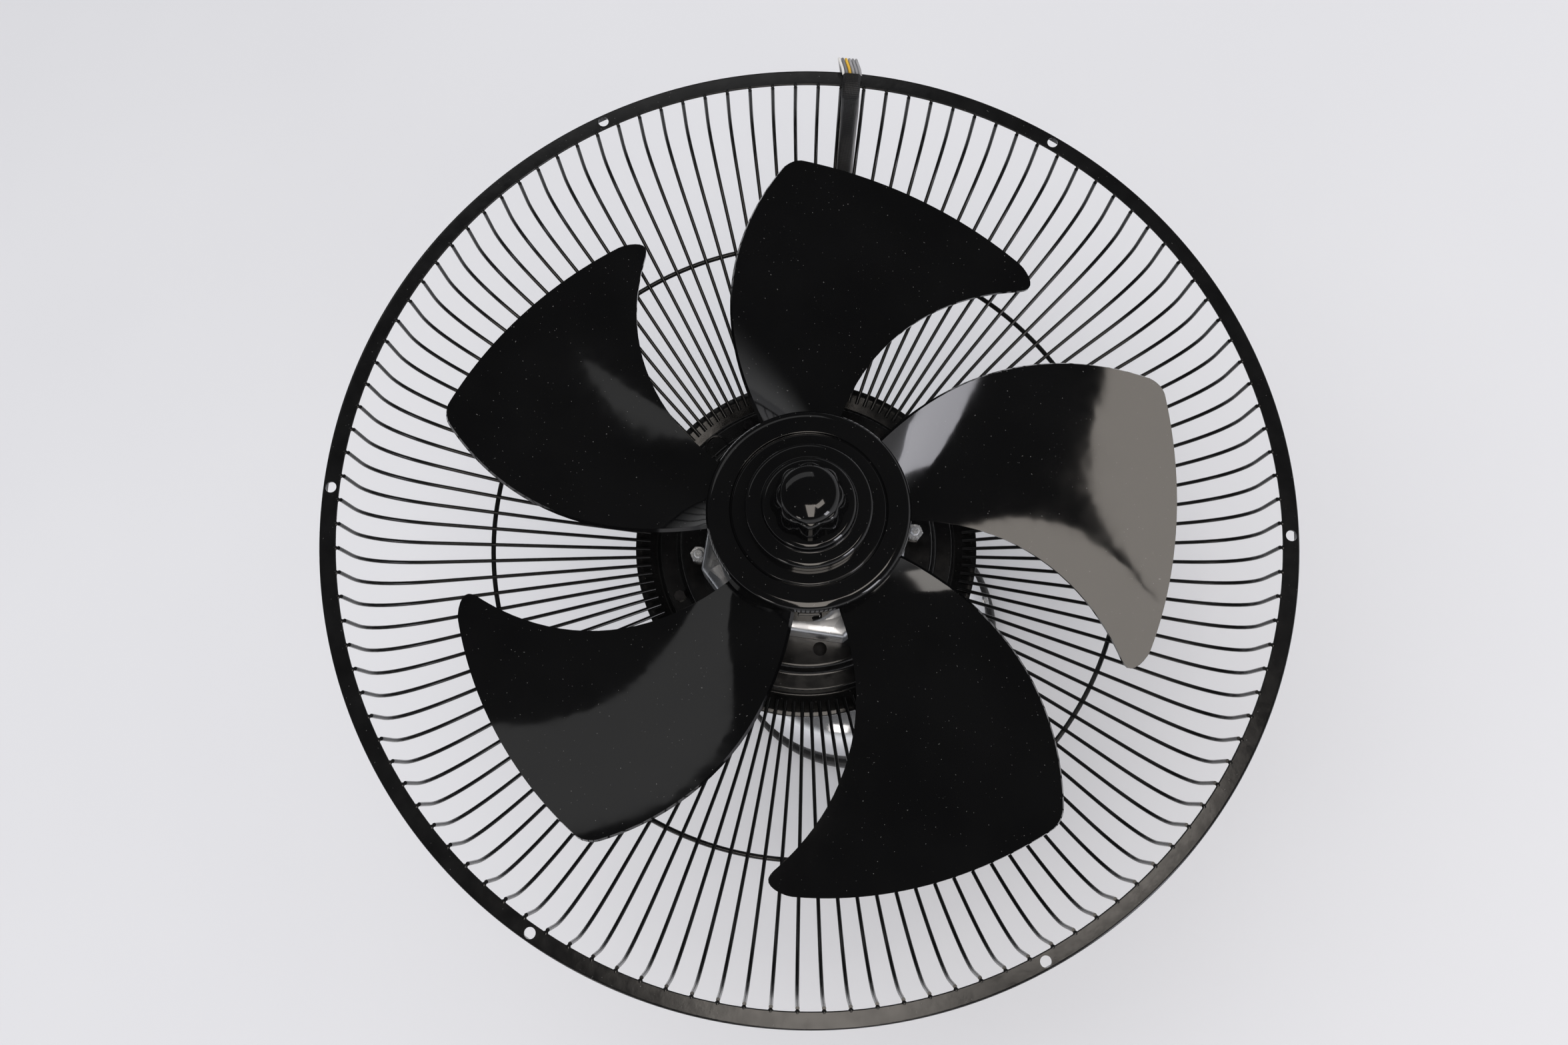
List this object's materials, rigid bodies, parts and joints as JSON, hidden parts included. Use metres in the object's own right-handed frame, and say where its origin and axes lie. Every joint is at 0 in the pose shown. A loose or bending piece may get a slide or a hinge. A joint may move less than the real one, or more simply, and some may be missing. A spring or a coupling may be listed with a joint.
{
  "type": "orbital ceiling fan",
  "caption": "Ceiling fan with a domed canopy, an orbit drive on a bent crank, a leaning motor head, a radial wire cage without its front guard, a bladed impeller and a lock knob.",
  "frame": {"origin": "centre of the canopy's flat mounting face, the face that goes against the ceiling", "axes": "+Z out of the canopy along the downrod towards the fan, so the fan stands on its canopy with its blades up; +X and +Y lie in the mounting face, and the head leans 22 degrees towards -38 degrees from +X at rest"},
  "size_m": [0.4597, 0.4761, 0.3411],
  "materials": {
    "black_paint": "gloss black enamel",
    "black_gloss": "mirror-gloss black moulding",
    "black_plastic": "satin black moulding",
    "polished_dome": "mirror-bright plating",
    "galvanised_motor": "zinc-coated pressed steel",
    "zinc_hardware": "bright zinc plating",
    "zinc_sheet": "dull zinc plating",
    "plain_steel": "turned steel",
    "bronze_bush": "sintered bronze",
    "copper_winding": "varnished copper winding",
    "white_plastic": "natural white nylon",
    "black_rubber": "matt rubber",
    "braided_sleeve": "fine black braid",
    "lead_white": "satin insulation",
    "lead_dark_grey": "satin insulation",
    "lead_yellow": "satin insulation",
    "lead_grey": "satin insulation"
  },
  "bodies": {
    "mount": {"ceiling_plate": "zinc_sheet", "base_ring": "black_plastic", "canopy": "polished_dome", "canopy_screw_1": "zinc_hardware", "canopy_screw_2": "zinc_hardware", "orbit_motor": "galvanised_motor", "drive_plate": "zinc_sheet", "pillar_1": "plain_steel", "pillar_2": "plain_steel", "pillar_3": "plain_steel", "terminal_block": "white_plastic", "downrod": "black_paint", "rod_bolt_1": "zinc_hardware", "rod_bolt_2": "zinc_hardware", "rod_bolt_3": "zinc_hardware", "bush_lower": "bronze_bush", "bush_upper": "bronze_bush", "ball_shroud": "black_gloss", "guide_fork": "plain_steel"},
    "crank": {"orbit_crank": "plain_steel", "crank_screw": "zinc_hardware", "orbit_gear": "white_plastic"},
    "drive_pinion": {"orbit_pinion": "white_plastic"},
    "head": {"guide_pin": "zinc_hardware", "swivel_plate": "zinc_sheet", "swivel_bush": "bronze_bush", "motor_front_shell": "galvanised_motor", "motor_rear_shell": "galvanised_motor", "stator_core": "plain_steel", "coil_rear": "copper_winding", "coil_front": "copper_winding", "bearing_front": "plain_steel", "bearing_rear": "plain_steel", "guard_wires": "black_paint", "guard_rim": "black_paint", "base_plate": "black_paint", "head_bolt_1": "zinc_hardware", "head_nut_1": "zinc_hardware", "spacer_1": "plain_steel", "head_bolt_2": "zinc_hardware", "head_nut_2": "zinc_hardware", "spacer_2": "plain_steel", "rear_cover": "black_gloss", "cover_screw_1": "zinc_hardware", "cover_screw_2": "zinc_hardware", "cover_screw_3": "zinc_hardware", "harness_sleeve": "braided_sleeve", "grommet": "black_rubber", "lead_1": "lead_white", "lead_2": "lead_dark_grey", "lead_3": "lead_yellow", "lead_4": "lead_grey", "lead_5": "lead_grey", "lead_6": "lead_grey", "connector": "white_plastic"},
    "fan_rotor": {"impeller": "black_gloss", "lock_knob": "black_gloss", "shaft": "plain_steel", "drive_pin": "plain_steel", "rotor": "galvanised_motor"}
  },
  "joints": [
    {"name": "orbit_turn", "type": "hinge", "parent": "mount", "child": "crank", "pos_m": [0, 0, 0.14], "axis": [0, 0, 1], "continuous": true},
    {"name": "head_counter", "type": "hinge", "parent": "crank", "child": "head", "pos_m": [0, 0, 0.14], "axis": [0.2952, -0.2306, 0.9272], "continuous": true},
    {"name": "pinion_spin", "type": "hinge", "parent": "mount", "child": "drive_pinion", "pos_m": [-0.00556, 0.03151, 0.036], "axis": [0, 0, 1], "continuous": true},
    {"name": "impeller_spin", "type": "hinge", "parent": "head", "child": "fan_rotor", "pos_m": [0, 0, 0.14], "axis": [0.2952, -0.2306, 0.9272], "continuous": true}
  ],
  "couplings": [
    {"joint": "head_counter", "follows": "orbit_turn", "ratio": -1},
    {"joint": "pinion_spin", "follows": "orbit_turn", "ratio": -3}
  ]
}
